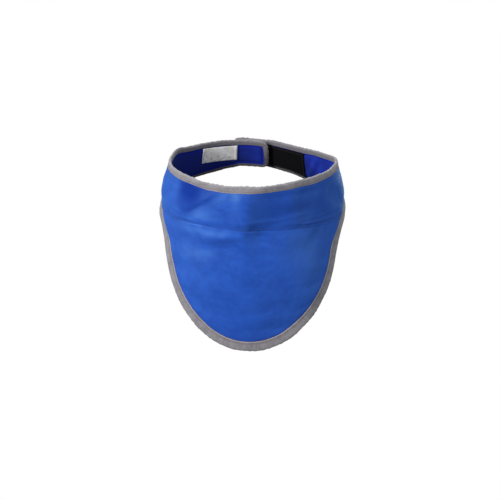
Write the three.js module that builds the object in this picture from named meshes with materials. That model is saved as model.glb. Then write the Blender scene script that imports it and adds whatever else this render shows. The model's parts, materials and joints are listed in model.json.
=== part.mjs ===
// Lead-rubber thyroid collar with a rounded bib, closed at the back of the neck by a
// hook-and-loop overlap. Millimetres, +Z up, the bib faces -Y, left is -X and right is +X.
// The origin is the bottom centre of the bounding box.
//
// Every sheet of the collar lies on one common surface, addressed by (s, h):
//   s  distance round the top rim from the front centre, positive to +X
//   h  depth below the rim, measured down the neck axis
// The surface is ruled: for a fixed s it is a straight line that leans outwards.
// The layers (outer cover, two lead-rubber plies, lining) and the folded edge tape
// are that surface pushed along its outward normal by a layer offset.
import * as THREE from 'three';
import { mergeVertices } from 'three/addons/utils/BufferGeometryUtils.js';

// ---------------------------------------------------------------- driving dimensions
const RIM_HALF_WIDTH = 80.2;      // x half-axis of the front half of the rim (mid-thickness)
const RIM_FRONT_DEPTH = 61.5;     // y half-axis of the front half of the rim
const FLARE_X = 0.185;            // outward lean of the sides, mm per mm of depth
const FLARE_Y = -0.12;            // common forward lean of the front half
const FLARE_FRONT = 0.08;         // extra forward lean at the front centre

const CREASE_DEPTH = 42;          // band height at the front centre
const CREASE_DROP = 4.5;          // how much deeper the crease is at the bib corners
const CORNER_S = 108;             // where the bib outline runs into the band's lower edge
const STRAP_LOW_DEPTH = 31.5;     // band height at the closure
const STRAP_LOW_S = 205;          // the straps have narrowed to that height here
const END_RADIUS = 7;             // rounded corners of the free ends
const BIB_END_S = 99;             // the bib's own pieces stop here

const HINGE_RIGHT_S = 122;        // right strap folds open here
const HINGE_LEFT_S = -137;        // left strap folds open here
const TAB_S = 190;                // the closing tab peels from here on
const JOIN_GAP = 0.4;             // gap between two bodies at a fold line
const HALF_JOIN = JOIN_GAP / 2;

const COVER_T = 0.5;              // coated nylon cover and lining
const PLY_T = 0.8;                // one lead-rubber ply
const GAP = 0.3;                  // air left between neighbouring pieces
const CUT = 0.5;                  // cover and lining stop this short of the edge line
const BIB_CUT = 0.9;              // the same for the bib
const LEAD_CUT = 0.5;             // the plies stop this much shorter still

const TAPE_T = 0.6;               // binding tape
const TAPE_W = 7.5;               // visible width of the folded binding tape
const LIP_END = TAPE_W - TAPE_T;  // the tape's lips reach this far inside the edge line
const LIP_LIFT = 0.07;            // a widened lip stands off the cloth by this per extra mm
const THREAD_W = 0.6;             // sewing thread as one raised line
const THREAD_T = 0.35;
const THREAD_GAP = 0.15;          // between a thread and the face below it
const STITCH_INSET = LIP_END - 1.2;   // edge line to the binding's thread

const APPLIED_GAP = 0.25;         // between the cloth and a patch or label
const PATCH_T = 1.1;              // hook or loop patch
const PATCH_MARGIN = 0.6;         // between a patch and the tape's lips
const PATCH_END_INSET = 8;        // a patch stops this short of a free end
const LABEL_T = 0.35;             // woven care label, blank

// layer offsets from the mid surface: [inner, outer]
const HALF = (2 * COVER_T + 2 * PLY_T + 3 * GAP) / 2;
const COVER = [HALF - COVER_T, HALF];
const OUTER_PLY = [GAP / 2, GAP / 2 + PLY_T];
const INNER_PLY = [-GAP / 2 - PLY_T, -GAP / 2];
const LINING = [-HALF, -HALF + COVER_T];
const TAPE_IN = HALF + GAP;
const TAPE_OUT = TAPE_IN + TAPE_T;
const TAPE_THREAD_BASE = TAPE_OUT + THREAD_GAP;
const PATCH_IN = HALF + APPLIED_GAP;
const PATCH_OUT = PATCH_IN + PATCH_T;
const PATCH_OUTSIDE = [PATCH_IN, PATCH_OUT];
const PATCH_INSIDE = [-PATCH_OUT, -PATCH_IN];
const PIVOT_OFFSET = TAPE_THREAD_BASE + THREAD_T + 0.05;   // fold axes sit just outside

// ---------------------------------------------------------------- the common surface
// natural cubic spline through (knots, values); the tridiagonal system gives the
// second derivative at each knot
function naturalSpline(knots, values) {
  const count = knots.length;
  const zeros = () => Array(count).fill(0);
  const lower = zeros(), diagonal = Array(count).fill(1), upper = zeros();
  const right = zeros(), second = zeros();
  const gaps = knots.slice(1).map((knot, i) => knot - knots[i]);
  for (let i = 1; i < count - 1; i++) {
    lower[i] = gaps[i - 1];
    diagonal[i] = 2 * (gaps[i - 1] + gaps[i]);
    upper[i] = gaps[i];
    right[i] = 6 * ((values[i + 1] - values[i]) / gaps[i]
      - (values[i] - values[i - 1]) / gaps[i - 1]);
  }
  for (let i = 1; i < count; i++) {
    const factor = lower[i] / diagonal[i - 1];
    diagonal[i] -= factor * upper[i - 1];
    right[i] -= factor * right[i - 1];
  }
  for (let i = count - 2; i >= 0; i--) {
    second[i] = (right[i] - upper[i] * second[i + 1]) / diagonal[i];
  }
  return (x) => {
    let i = 0;
    while (i < count - 2 && x > knots[i + 1]) i++;
    const u = x - knots[i];
    const gap = gaps[i];
    const slope = (values[i + 1] - values[i]) / gap - gap * (2 * second[i] + second[i + 1]) / 6;
    return values[i] + u * slope + u * u * second[i] / 2
      + u * u * u * (second[i + 1] - second[i]) / (6 * gap);
  };
}

// stations of the rim in plan and the lean of the surface there: [x, y, dx/dh, dy/dh]
const LEFT_BACK = [
  [12, 46.6, 0.03, 0.21], [0, 50.4, 0, 0.21], [-16, 52.0, -0.04, 0.20],
  [-34, 48.1, -0.08, 0.19], [-51, 41.2, -0.12, 0.17], [-65.5, 33.6, -0.17, 0.12],
  [-74.6, 27, -0.20, 0.04], [-78.2, 18, -0.20, -0.02], [-79.6, 8, -0.195, -0.07],
];
const RIGHT_BACK = [
  [80, 3.2, 0.195, -0.06], [77.8, 10.8, 0.19, 0.02], [70.5, 18, 0.17, 0.10],
  [59, 26.4, 0.13, 0.15], [44.5, 35.6, 0.10, 0.18], [29, 45, 0.07, 0.20],
  [14, 53.6, 0.04, 0.21], [0, 59, 0, 0.21], [-22, 61.0, -0.05, 0.21],
];
// the front half is an ellipse; angles in degrees from the front centre
const FRONT_ANGLES = [-85, -72, -60, -45, -30, -15, 0, 15, 30, 45, 60, 72, 85];
const FRONT = FRONT_ANGLES.map((degrees) => {
  const angle = degrees * Math.PI / 180;
  const sin = Math.sin(angle), cos = Math.cos(angle);
  return [RIM_HALF_WIDTH * sin, -RIM_FRONT_DEPTH * cos, FLARE_X * sin, FLARE_Y - FLARE_FRONT * cos];
});
const RING = [...LEFT_BACK, ...FRONT, ...RIGHT_BACK];

// s of each station: summed chords, with zero moved to the front centre
function stationDistances() {
  const distances = [0];
  for (let i = 1; i < RING.length; i++) {
    const chord = Math.hypot(RING[i][0] - RING[i - 1][0], RING[i][1] - RING[i - 1][1]);
    distances.push(distances[i - 1] + chord);
  }
  const zero = distances[LEFT_BACK.length + FRONT_ANGLES.indexOf(0)];
  return distances.map((distance) => distance - zero);
}
const STATION_S = stationDistances();
const LEFT_END_S = STATION_S[0];
const RIGHT_END_S = STATION_S[STATION_S.length - 1];
const RING_CURVES = [0, 1, 2, 3].map((k) => naturalSpline(STATION_S, RING.map((row) => row[k])));

const PROBE = 0.05;               // half step of the finite differences

function surfacePoint(s, h) {
  const [x, y, leanX, leanY] = RING_CURVES.map((curve) => curve(s));
  return new THREE.Vector3(x + leanX * h, y + leanY * h, -h);
}
function outwardNormal(s, h) {
  const alongRim = surfacePoint(s + PROBE, h).sub(surfacePoint(s - PROBE, h));
  const upwards = surfacePoint(s, h - PROBE).sub(surfacePoint(s, h + PROBE));
  return alongRim.cross(upwards).normalize();
}
function offsetPoint(s, h, offset) {
  return surfacePoint(s, h).addScaledVector(outwardNormal(s, h), offset);
}
// length on the surface at depth h per mm of s
function stretch(s, h) {
  return surfacePoint(s + PROBE, h).distanceTo(surfacePoint(s - PROBE, h)) / (2 * PROBE);
}

// ---------------------------------------------------------------- edges of the pieces
function smooth(t) {
  const u = Math.min(1, Math.max(0, t));
  return u * u * (3 - 2 * u);
}
const rimEdge = () => 0;
const creaseDepth = (s) => CREASE_DEPTH + CREASE_DROP * (s / CORNER_S) ** 2;
function strapDepth(s) {
  const rise = smooth((STRAP_LOW_S - Math.abs(s)) / (STRAP_LOW_S - CORNER_S));
  return STRAP_LOW_DEPTH + (CREASE_DEPTH + CREASE_DROP - STRAP_LOW_DEPTH) * rise;
}
const strapLow = (cut) => (s) => strapDepth(s) - cut;

// right half of the bib's outline, mirrored for the left: [s, h]
const BIB_HALF = [
  [0, 158.4], [12, 157], [22.2, 153], [30, 147.8], [38.1, 140.2],
  [47.3, 130], [55.1, 119.7], [61.5, 110], [67.2, 100], [72.1, 90],
  [76.7, 80], [81.9, 70], [89.8, 59.8], [97.5, 53.6], [108, 47],
];
const BIB_OUTLINE = [...BIB_HALF.slice(1).reverse().map(([s, h]) => [-s, h]), ...BIB_HALF];
const bibDepth = naturalSpline(BIB_OUTLINE.map(([s]) => s), BIB_OUTLINE.map(([, h]) => h));

// columns: values of s shared by every layer, close together where the ring bends tightly
const FIRST_COLUMN = 4.5;
const COLUMN_STEP = { min: 3.2, max: 12 };
const CHORD_SAG = 0.16;           // sag between columns that sets the step
const TURN_SPAN = 2;              // the bend is measured over this distance either side

function columnStep(s) {
  const [before, here, after] = [s - TURN_SPAN, s, s + TURN_SPAN].map((t) => surfacePoint(t, 0));
  const turn = here.clone().sub(before).angleTo(after.sub(here));
  const step = Math.sqrt(8 * CHORD_SAG * TURN_SPAN / Math.max(turn, 1e-3));
  return Math.min(COLUMN_STEP.max, Math.max(COLUMN_STEP.min, step));
}
const ALL_COLUMNS = [];
for (let s = FIRST_COLUMN; s < RIGHT_END_S; s += columnStep(s)) ALL_COLUMNS.push(s);
for (let s = -FIRST_COLUMN; s > LEFT_END_S; s -= columnStep(s)) ALL_COLUMNS.unshift(s);

// shared columns from one s to another, giving way to both ends and to the extra ones
const END_CLEARANCE = 1.5;
const EXTRA_CLEARANCE = 2.4;
function columns(from, to, extra) {
  const shared = ALL_COLUMNS
    .filter((s) => s > from + END_CLEARANCE && s < to - END_CLEARANCE)
    .filter((s) => extra.every((e) => Math.abs(e - s) > EXTRA_CLEARANCE));
  const added = extra.filter((e) => e > from && e < to);
  return [from, ...shared, ...added, to].sort((p, q) => p - q);
}
// the columns from one existing column to another, both included
function between(cols, from, to) {
  const slack = 0.1;
  return cols.filter((s) => s > from - slack && s < to + slack);
}
const along = (cols, edge) => cols.map((s) => [s, edge(s)]);

// ---------------------------------------------------------------- solids
const group = new THREE.Group();
const model = new THREE.Group();
group.add(model);

const LOOK = {
  cover: { color: 0x2c57b8, roughness: 0.55, metalness: 0 },
  lining: { color: 0x1f3f9c, roughness: 0.6, metalness: 0 },
  lead: { color: 0x3d4046, roughness: 0.8, metalness: 0 },
  tape: { color: 0x8c8788, roughness: 0.75, metalness: 0 },
  thread: { color: 0xb3a695, roughness: 0.7, metalness: 0 },
  hook: { color: 0x15161a, roughness: 0.7, metalness: 0 },
  loop: { color: 0x0e0f12, roughness: 0.95, metalness: 0 },
  label: { color: 0xbdb9b2, roughness: 0.6, metalness: 0 },
};

function signedVolume(geometry) {
  const { index, attributes: { position } } = geometry;
  const corners = [0, 1, 2].map(() => new THREE.Vector3());
  let volume = 0;
  for (let i = 0; i < index.count; i += 3) {
    corners.forEach((corner, k) => corner.fromBufferAttribute(position, index.getX(i + k)));
    volume += corners[0].dot(corners[1].cross(corners[2])) / 6;
  }
  return volume;
}

function flipFaces({ index }) {
  for (let i = 0; i < index.count; i += 3) {
    const first = index.getX(i);
    index.setX(i, index.getX(i + 1));
    index.setX(i + 1, first);
  }
}

// moves every vertex of a plain geometry through place() and adds the result as a mesh
function solid(name, look, geometry, place) {
  geometry.deleteAttribute('normal');
  geometry.deleteAttribute('uv');
  const { position } = geometry.attributes;
  const vertex = new THREE.Vector3();
  for (let i = 0; i < position.count; i++) {
    const placed = place(vertex.fromBufferAttribute(position, i));
    position.setXYZ(i, placed.x, placed.y, placed.z);
  }
  const merged = mergeVertices(geometry, 1e-4);
  // the mapping may mirror the geometry
  if (signedVolume(merged) < 0) flipFaces(merged);
  merged.computeVertexNormals();
  const mesh = new THREE.Mesh(merged, new THREE.MeshStandardMaterial(LOOK[look]));
  mesh.name = name;
  model.add(mesh);
}

// a sheet of the given layer over its columns, from depth top(s) to depth low(s)
function sheet(name, look, { cols, top, low }, layer) {
  const spans = cols.length - 1;
  const box = new THREE.BoxGeometry(spans, 1, 1, spans, 1, 1);
  // the last face of the box takes the same diagonals as the opposite one, so stacked
  // layers stay parallel
  const { index } = box;
  for (let i = index.count - spans * 6; i < index.count; i += 6) {
    const [a, b, c, d] = [0, 1, 4, 2].map((k) => index.getX(i + k));
    [a, b, c, a, c, d].forEach((corner, k) => index.setX(i + k, corner));
  }
  solid(name, look, box, (v) => {
    const s = cols[Math.round(v.x + spans / 2)];
    return offsetPoint(s, v.y > 0 ? low(s) : top(s), v.z > 0 ? layer[1] : layer[0]);
  });
}

// cover, two lead plies and lining of one part
function layeredCloth(part, cloth, outerPly, innerPly = outerPly) {
  sheet(`${part}_outer_cover`, 'cover', cloth, COVER);
  sheet(`${part}_lead_ply_outer`, 'lead', outerPly, OUTER_PLY);
  sheet(`${part}_lead_ply_inner`, 'lead', innerPly, INNER_PLY);
  sheet(`${part}_lining`, 'lining', cloth, LINING);
}

// for each [s, h] of a path, the direction pointing 1 mm into the cloth;
// inward (1 or -1) picks the side of the path the cloth is on
function frames(path, inward) {
  return path.map(([s, h], i) => {
    const previous = path[Math.max(0, i - 1)];
    const next = path[Math.min(path.length - 1, i + 1)];
    const scale = stretch(s, h);
    const runS = (next[0] - previous[0]) * scale;
    const runH = next[1] - previous[1];
    const length = Math.hypot(runS, runH);
    return { s, h, inS: -(runH / length) * inward / scale, inH: (runS / length) * inward };
  });
}
const framePoint = ({ s, h, inS, inH }, inset, offset) => (
  offsetPoint(s + inS * inset, h + inH * inset, offset));

const notWidened = () => 0;

// folded tape: a C section, open towards the cloth, swept along an edge;
// widening(s) stretches its two lips
function binding(name, path, inward, widening = notWidened) {
  const stations = frames(path, inward);
  const spans = stations.length - 1;
  // x: inset from the edge line, y: layer offset
  const section = new THREE.Shape([
    [-TAPE_T, -TAPE_OUT], [LIP_END, -TAPE_OUT], [LIP_END, -TAPE_IN], [0, -TAPE_IN],
    [0, TAPE_IN], [LIP_END, TAPE_IN], [LIP_END, TAPE_OUT], [-TAPE_T, TAPE_OUT],
  ].map(([x, y]) => new THREE.Vector2(x, y)));
  section.closePath();
  const swept = new THREE.ExtrudeGeometry(section, {
    steps: spans, depth: spans, bevelEnabled: false,
  });
  solid(name, 'tape', swept, (v) => {
    const station = stations[Math.round(v.z)];
    const extra = v.x > 0.01 ? widening(station.s) : 0;
    const inset = v.x * (1 + extra / LIP_END);
    return framePoint(station, inset, v.y + Math.sign(v.y) * LIP_LIFT * extra);
  });
}

// a line of thread standing on offset base, on the outer (side 1) or inner (side -1) face
function thread(name, path, inward, { inset, base, side = 1, widening = notWidened }) {
  const stations = frames(path, inward);
  const spans = stations.length - 1;
  solid(name, 'thread', new THREE.BoxGeometry(spans, 1, 1, spans, 1, 1), (v) => {
    const station = stations[Math.round(v.x + spans / 2)];
    const extra = widening(station.s);
    const across = v.y > 0 ? THREAD_W / 2 : -THREAD_W / 2;
    const height = base + LIP_LIFT * extra + (v.z > 0 ? THREAD_T : 0);
    return framePoint(station, inset + extra + across, side * height);
  });
}

// bindings for a list of edges, then the stitching of each
function bindEdges(edges) {
  for (const { stem, suffix = '', path, inward, widening } of edges) {
    binding(`${stem}_binding${suffix}`, path, inward, widening);
  }
  for (const { stem, suffix = '', path, inward, widening } of edges) {
    const line = { inset: STITCH_INSET, base: TAPE_THREAD_BASE, widening };
    thread(`${stem}_stitching${suffix}`, path, inward, line);
  }
}

// ---------------------------------------------------------------- free ends
const END_COLUMN_INSETS = [PATCH_END_INSET, 4, 2];   // extra columns this far from an end

// path round a free end: top edge, rounded corner, end, rounded corner, lower edge;
// cols run towards the end
function endPath(endS, direction, cols) {
  const low = strapDepth(endS);
  const straight = cols.filter((s) => (endS - s) * direction > END_RADIUS + 2);
  const corner = [0, 1, 2, 3, 4].map((k) => {
    const angle = k * Math.PI / 8;
    return [END_RADIUS * (1 - Math.sin(angle)), END_RADIUS * (1 - Math.cos(angle))];
  });
  return [
    ...along(straight, rimEdge),
    ...corner.map(([fromSin, fromCos]) => [endS - direction * fromSin, fromCos]),
    ...corner.map(([fromSin, fromCos]) => [endS - direction * fromCos, low - fromSin]),
    ...along([...straight].reverse(), strapDepth),
  ];
}

// cover and lining inside such an end, their corners rounded about the same centres
function endOutline(cols, endS) {
  const radius = END_RADIUS - CUT;
  const top = (s) => {
    const distance = Math.abs(endS - s);
    if (distance >= END_RADIUS) return CUT;
    const reach = END_RADIUS - Math.max(distance, CUT);
    return CUT + Math.max(0, radius - Math.sqrt(Math.max(0, radius ** 2 - reach ** 2)));
  };
  return { cols, top, low: (s) => strapDepth(s) - top(s) };
}

// ---------------------------------------------------------------- strap outlines
const strapCloth = (cols) => ({ cols, top: () => CUT, low: strapLow(CUT) });
const strapLead = (cols) => (
  { cols, top: () => CUT + LEAD_CUT, low: strapLow(CUT + LEAD_CUT) });
const patchOutline = (cols) => (
  { cols, top: () => LIP_END + PATCH_MARGIN, low: strapLow(LIP_END + PATCH_MARGIN) });

// ---------------------------------------------------------------- front band
// wraps the front of the neck above the crease
function frontBand() {
  const lowerTapeS = BIB_END_S + 2.5;     // the lower bindings start here on each side
  const creaseThreadS = 94;               // the crease stitching stays within this
  const creaseThreadInset = 2.6;
  const cols = columns(HINGE_LEFT_S + HALF_JOIN, HINGE_RIGHT_S - HALF_JOIN,
    [-BIB_END_S, BIB_END_S, -lowerTapeS, lowerTapeS]);
  const outline = (cut) => ({
    cols,
    top: () => cut,
    low: (s) => {
      if (Math.abs(s) <= BIB_END_S + 0.01) return creaseDepth(s) - HALF_JOIN;
      return (Math.abs(s) < CORNER_S ? creaseDepth(s) : strapDepth(s)) - cut;
    },
  });
  layeredCloth('front_band', outline(CUT), outline(CUT + LEAD_CUT));
  bindEdges([{ stem: 'front_band_rim', path: along(cols, rimEdge), inward: 1 }]);

  const lowerEdge = (suffix, from, to) => ({
    stem: 'front_band_lower',
    suffix,
    path: along(between(cols, from, to), strapDepth),
    inward: -1,
  });
  bindEdges([
    lowerEdge('_right', lowerTapeS, Infinity),
    lowerEdge('_left', -Infinity, -lowerTapeS),
  ]);

  const creasePath = along(cols.filter((s) => Math.abs(s) < creaseThreadS), creaseDepth);
  thread('crease_stitching', creasePath, -1,
    { inset: creaseThreadInset, base: HALF + THREAD_GAP });
}

// ---------------------------------------------------------------- bib
const BIB_SIDE_COLUMNS = [59, 65.5, 71, 75.5, 80.5, 86, 92];   // where the outline is steep
// the bib's tape is turned over further, fading out over fadeRun before fadeEnd
const BIB_TAPE = { extra: 2.5, fadeEnd: 90, fadeRun: 14 };

// lower edge of a layer: the outline moved inwards by inset, measured square to it
function bibInset(inset) {
  const points = [];
  for (let s = -BIB_END_S - 1; s <= BIB_END_S + 1; s += 1) {
    const frame = frames(along([s - 0.5, s, s + 0.5], bibDepth), -1)[1];
    points.push([frame.s + frame.inS * inset, frame.h + frame.inH * inset]);
  }
  return (s) => {
    if (s <= points[0][0]) return points[0][1];
    const i = points.findIndex(([pointS]) => s <= pointS);
    if (i < 0) return points[points.length - 1][1];
    const [s0, h0] = points[i - 1];
    const [s1, h1] = points[i];
    const t = (s - s0) / (s1 - s0);
    return h0 * (1 - t) + h1 * t;
  };
}

// hangs over the chest below the crease
function bib() {
  const leadTopGap = 0.3;
  const cols = columns(-BIB_END_S, BIB_END_S,
    [...BIB_SIDE_COLUMNS, ...BIB_SIDE_COLUMNS.map((s) => -s)]);
  const top = (s) => creaseDepth(s) + HALF_JOIN;
  layeredCloth('bib',
    { cols, top, low: bibInset(BIB_CUT) },
    { cols, top: (s) => top(s) + leadTopGap, low: bibInset(BIB_CUT + LEAD_CUT) });
  const widening = (s) => (
    BIB_TAPE.extra * smooth((BIB_TAPE.fadeEnd - Math.abs(s)) / BIB_TAPE.fadeRun));
  bindEdges([{ stem: 'bib_edge', path: along(cols, bibDepth), inward: -1, widening }]);
}

// ---------------------------------------------------------------- right strap
// with its closing tab, the outer half of the overlap
function rightStrap() {
  const patchStart = 160;
  const outerPlyEnd = 184;
  const innerPlyEnd = 180;
  const cols = columns(HINGE_RIGHT_S + HALF_JOIN, TAB_S - HALF_JOIN, [patchStart]);
  layeredCloth('right_strap', strapCloth(cols),
    strapLead(cols.filter((s) => s < outerPlyEnd)),
    strapLead(cols.filter((s) => s < innerPlyEnd)));
  bindEdges([
    { stem: 'right_strap_rim', path: along(cols, rimEdge), inward: 1 },
    { stem: 'right_strap_lower', path: along(cols, strapDepth), inward: -1 },
  ]);
  sheet('right_strap_loop_patch', 'loop',
    patchOutline(between(cols, patchStart, Infinity)), PATCH_INSIDE);
}

function closingTab() {
  const end = RIGHT_END_S;
  const cols = columns(TAB_S + HALF_JOIN, end - CUT,
    END_COLUMN_INSETS.map((inset) => end - inset));
  const cloth = endOutline(cols, end);
  sheet('closing_tab_outer_cover', 'cover', cloth, COVER);
  sheet('closing_tab_lining', 'lining', cloth, LINING);
  bindEdges([{ stem: 'closing_tab', path: endPath(end, 1, cols), inward: 1 }]);
  sheet('closing_tab_loop_patch', 'loop',
    patchOutline(between(cols, -Infinity, end - PATCH_END_INSET)), PATCH_INSIDE);
}

// ---------------------------------------------------------------- left strap
const LABEL = { from: -201, to: -165, top: LIP_END + 0.4, low: LIP_END + 17.3 };

// the inner half of the overlap
function leftStrap() {
  const end = LEFT_END_S;
  const patchStop = -176;
  const outerPlyEnd = -184;
  const innerPlyEnd = -180;
  const cols = columns(end + CUT, HINGE_LEFT_S - HALF_JOIN,
    [...END_COLUMN_INSETS.map((inset) => end + inset), patchStop, LABEL.to, LABEL.from]);
  layeredCloth('left_strap', endOutline(cols, end),
    strapLead(cols.filter((s) => s > outerPlyEnd)),
    strapLead(cols.filter((s) => s > innerPlyEnd)));
  const path = endPath(end, -1, [...cols].reverse());
  bindEdges([{ stem: 'left_strap', path, inward: -1 }]);
  sheet('left_strap_hook_patch', 'hook',
    patchOutline(between(cols, end + PATCH_END_INSET, patchStop)), PATCH_OUTSIDE);
  careLabel(cols);
}

// on the inner face of the left strap, sewn down both sides and along the bottom
function careLabel(strapCols) {
  const face = HALF + APPLIED_GAP + LABEL_T;
  const cols = between(strapCols, LABEL.from, LABEL.to);
  sheet('care_label', 'label', { cols, top: () => LABEL.top, low: () => LABEL.low },
    [-face, -HALF - APPLIED_GAP]);
  const [from, to] = [LABEL.from + 1, LABEL.to - 1];
  const [top, middle, bottom] = [9, 16, 22.8];
  const path = [
    [from, top], [from, middle], [from, bottom], [-194, bottom],
    ...along(cols.filter((s) => s > -193 && s < -169), () => bottom),
    [to, bottom], [to, middle], [to, top],
  ];
  thread('care_label_stitching', path, -1, { inset: 0, base: face + THREAD_GAP, side: -1 });
}

frontBand();
bib();
rightStrap();
closingTab();
leftStrap();

// ---------------------------------------------------------------- origin: bottom centre of the box
group.updateMatrixWorld(true);
const bounds = new THREE.Box3().setFromObject(group, true);
const centre = bounds.getCenter(new THREE.Vector3());
model.position.set(-centre.x, -centre.y, -bounds.min.z);
group.updateMatrixWorld(true);

// fold axes in the finished frame, for the assembly's description
const finishedPoint = (s, h, offset) => offsetPoint(s, h, offset).add(model.position).toArray();
function foldAxis(s, h) {
  const start = offsetPoint(s, h, PIVOT_OFFSET);
  const direction = offsetPoint(s, h + 10, PIVOT_OFFSET).sub(start).normalize();
  return { point: finishedPoint(s, h, PIVOT_OFFSET), direction: direction.toArray() };
}
group.userData.foldAxes = {
  right_strap: foldAxis(HINGE_RIGHT_S, 20),
  left_strap: foldAxis(HINGE_LEFT_S, 20),
  closing_tab: foldAxis(TAB_S, 18),
  bib: { point: finishedPoint(0, CREASE_DEPTH, HALF + 0.1), direction: [-1, 0, 0] },
};
group.userData.shift = model.position.toArray();
group.userData.size = bounds.getSize(new THREE.Vector3()).toArray();

export default group;
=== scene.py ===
# Thyroid shield collar with a rounded bib.
# The collar rings the origin and +Z is up. The bib hangs at the front (-Y), the right strap
# is on +X, the left strap on -X, and their free ends meet at the back (+Y).
# Lengths are in mm and become metres in at(), seam_point() and level().
import bpy
import bmesh
import json
import math
import numpy as np
from mathutils import Vector, Matrix

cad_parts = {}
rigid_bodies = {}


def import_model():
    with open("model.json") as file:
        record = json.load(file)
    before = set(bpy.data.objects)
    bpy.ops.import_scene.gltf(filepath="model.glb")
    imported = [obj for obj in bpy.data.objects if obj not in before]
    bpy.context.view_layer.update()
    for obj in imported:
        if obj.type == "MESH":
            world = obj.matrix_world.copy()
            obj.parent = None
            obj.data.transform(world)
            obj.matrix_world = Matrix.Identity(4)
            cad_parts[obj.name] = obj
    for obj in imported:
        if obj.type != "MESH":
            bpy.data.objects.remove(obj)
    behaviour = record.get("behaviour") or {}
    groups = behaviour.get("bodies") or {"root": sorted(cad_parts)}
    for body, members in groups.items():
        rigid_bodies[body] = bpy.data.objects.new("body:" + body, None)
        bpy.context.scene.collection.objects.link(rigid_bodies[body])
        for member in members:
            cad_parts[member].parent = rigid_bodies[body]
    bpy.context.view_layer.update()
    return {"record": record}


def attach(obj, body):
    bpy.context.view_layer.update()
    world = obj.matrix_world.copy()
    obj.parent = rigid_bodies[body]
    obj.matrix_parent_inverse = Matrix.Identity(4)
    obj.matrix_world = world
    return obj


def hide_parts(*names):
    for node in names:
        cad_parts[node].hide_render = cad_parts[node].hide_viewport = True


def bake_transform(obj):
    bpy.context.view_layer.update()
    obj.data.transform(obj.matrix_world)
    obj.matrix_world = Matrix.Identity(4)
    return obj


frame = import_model()
JOINT = {joint["name"]: joint for joint in frame["record"]["behaviour"]["joints"]}

# ------------------------------------------------------------------ main dimensions
# Everything is placed by two cloth coordinates:
#   along: distance round the rim from the front centre, + to the right
#   depth: distance below the rim
FRONT_HALF_WIDTH, FRONT_REACH = 80.2, 61.5   # half ellipse of the rim's front
LEAN_SIDE, LEAN_FRONT, LEAN_CENTRE = 0.185, -0.12, 0.08   # sideways, steady and central lean
CREASE_DEPTH = 42.0     # hinge line between band and bib at the front centre
CREASE_DROP = 4.5       # how much lower it lies at the bib's corners
CREASE_LIMIT = 125      # beyond this the crease stays level
CORNER_AT = 108.0       # the bib's corners
STRAP_DEPTH = 31.5      # lower edge of the straps
CUT_AT = 108.0          # front pieces end here, side pieces begin
REAR_AT = 160.0         # right side ends here, right rear begins
LEAD_END = 181.0        # the lead plies stop here on both straps
HINGE_OUT = 1.85        # the bib hinge lies this far outside the mid-surface

COVER_OUT, COVER_IN = 1.75, 1.25    # faces of the cover; the lining mirrors them
LEAD_FAR, LEAD_NEAR = 0.95, 0.15    # faces of a lead ply
TAPE_OUT, TAPE_IN = 1.52, 1.04      # faces of the binding tape
COVER_INSET, LEAD_INSET = 0.6, 1.4  # from the edge line to the sheet
TAPE_WIDTH = 6.5                    # from the edge line to the tape's stitched lip
INNER_WIDTH, INNER_WIDTH_LOW = 4.6, 3.0   # inner lip, and along a strap's lower edge
STITCH_INSET, STITCH_INSET_IN = 4.85, 3.7
STITCH_PITCH = 2.9
LEFT_RADIUS, RIGHT_RADIUS = 6.5, 4.6      # corners of the free ends

CLOTH_STEP = 1.2
LEAD_STEP = 3.0
TAPE_STEP = 0.75
PATCH_STEP = 0.55
BAND_SPAN, BIB_SPAN, PATCH_SPAN = 42, 112, 22   # heights that set the row counts


# ------------------------------------------------------------------ small maths
class Spline:
    """Natural cubic spline."""

    def __init__(self, knots, values):
        knots = np.asarray(knots, float)
        values = np.asarray(values, float)
        gaps = np.diff(knots)
        matrix = np.zeros((len(knots), len(knots)))
        target = np.zeros(len(knots))
        matrix[0, 0] = matrix[-1, -1] = 1
        for i in range(1, len(knots) - 1):
            matrix[i, i - 1:i + 2] = gaps[i - 1], 2 * (gaps[i - 1] + gaps[i]), gaps[i]
        target[1:-1] = 6 * np.diff(np.diff(values) / gaps)
        self.knots, self.values, self.gaps = knots, values, gaps
        self.bends = np.linalg.solve(matrix, target)

    def __call__(self, x):
        x = np.asarray(x, float)
        i = np.clip(np.searchsorted(self.knots, x) - 1, 0, len(self.gaps) - 1)
        past, gap = x - self.knots[i], self.gaps[i]
        bend, value = self.bends, self.values
        slope = (value[i + 1] - value[i]) / gap - gap * (2 * bend[i] + bend[i + 1]) / 6
        return (value[i] + past * slope + past * past * bend[i] / 2
                + past ** 3 * (bend[i + 1] - bend[i]) / (6 * gap))


def unit(vector):
    length = np.linalg.norm(vector, axis=-1, keepdims=True)
    return vector / np.maximum(length, 1e-12)


def smooth(x):
    """Eased step from 0 to 1."""
    x = np.clip(x, 0, 1)
    return x * x * (3 - 2 * x)


def bell(distance, width):
    return np.exp(-(distance / width) ** 2)


# ------------------------------------------------------------------ common mid-surface
# Rim stations: x, y, and the lean in x and y per mm of depth
LEFT_RING = [
    (12, 46.6, 0.03, 0.21), (0, 50.4, 0, 0.21), (-16, 52.0, -0.04, 0.20),
    (-34, 48.1, -0.08, 0.19), (-51, 41.2, -0.12, 0.17), (-65.5, 33.6, -0.17, 0.12),
    (-74.6, 27, -0.20, 0.04), (-78.2, 18, -0.20, -0.02), (-79.6, 8, -0.195, -0.07)]
FRONT_ANGLES = (-85, -72, -60, -45, -30, -15, 0, 15, 30, 45, 60, 72, 85)
RIGHT_RING = [
    (80, 3.2, 0.195, -0.06), (77.8, 10.8, 0.19, 0.02), (70.5, 18, 0.17, 0.10),
    (59, 26.4, 0.13, 0.15), (44.5, 35.6, 0.10, 0.18), (29, 45, 0.07, 0.20),
    (14, 53.6, 0.04, 0.21), (0, 59, 0, 0.21), (-22, 61.0, -0.05, 0.21)]


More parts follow.
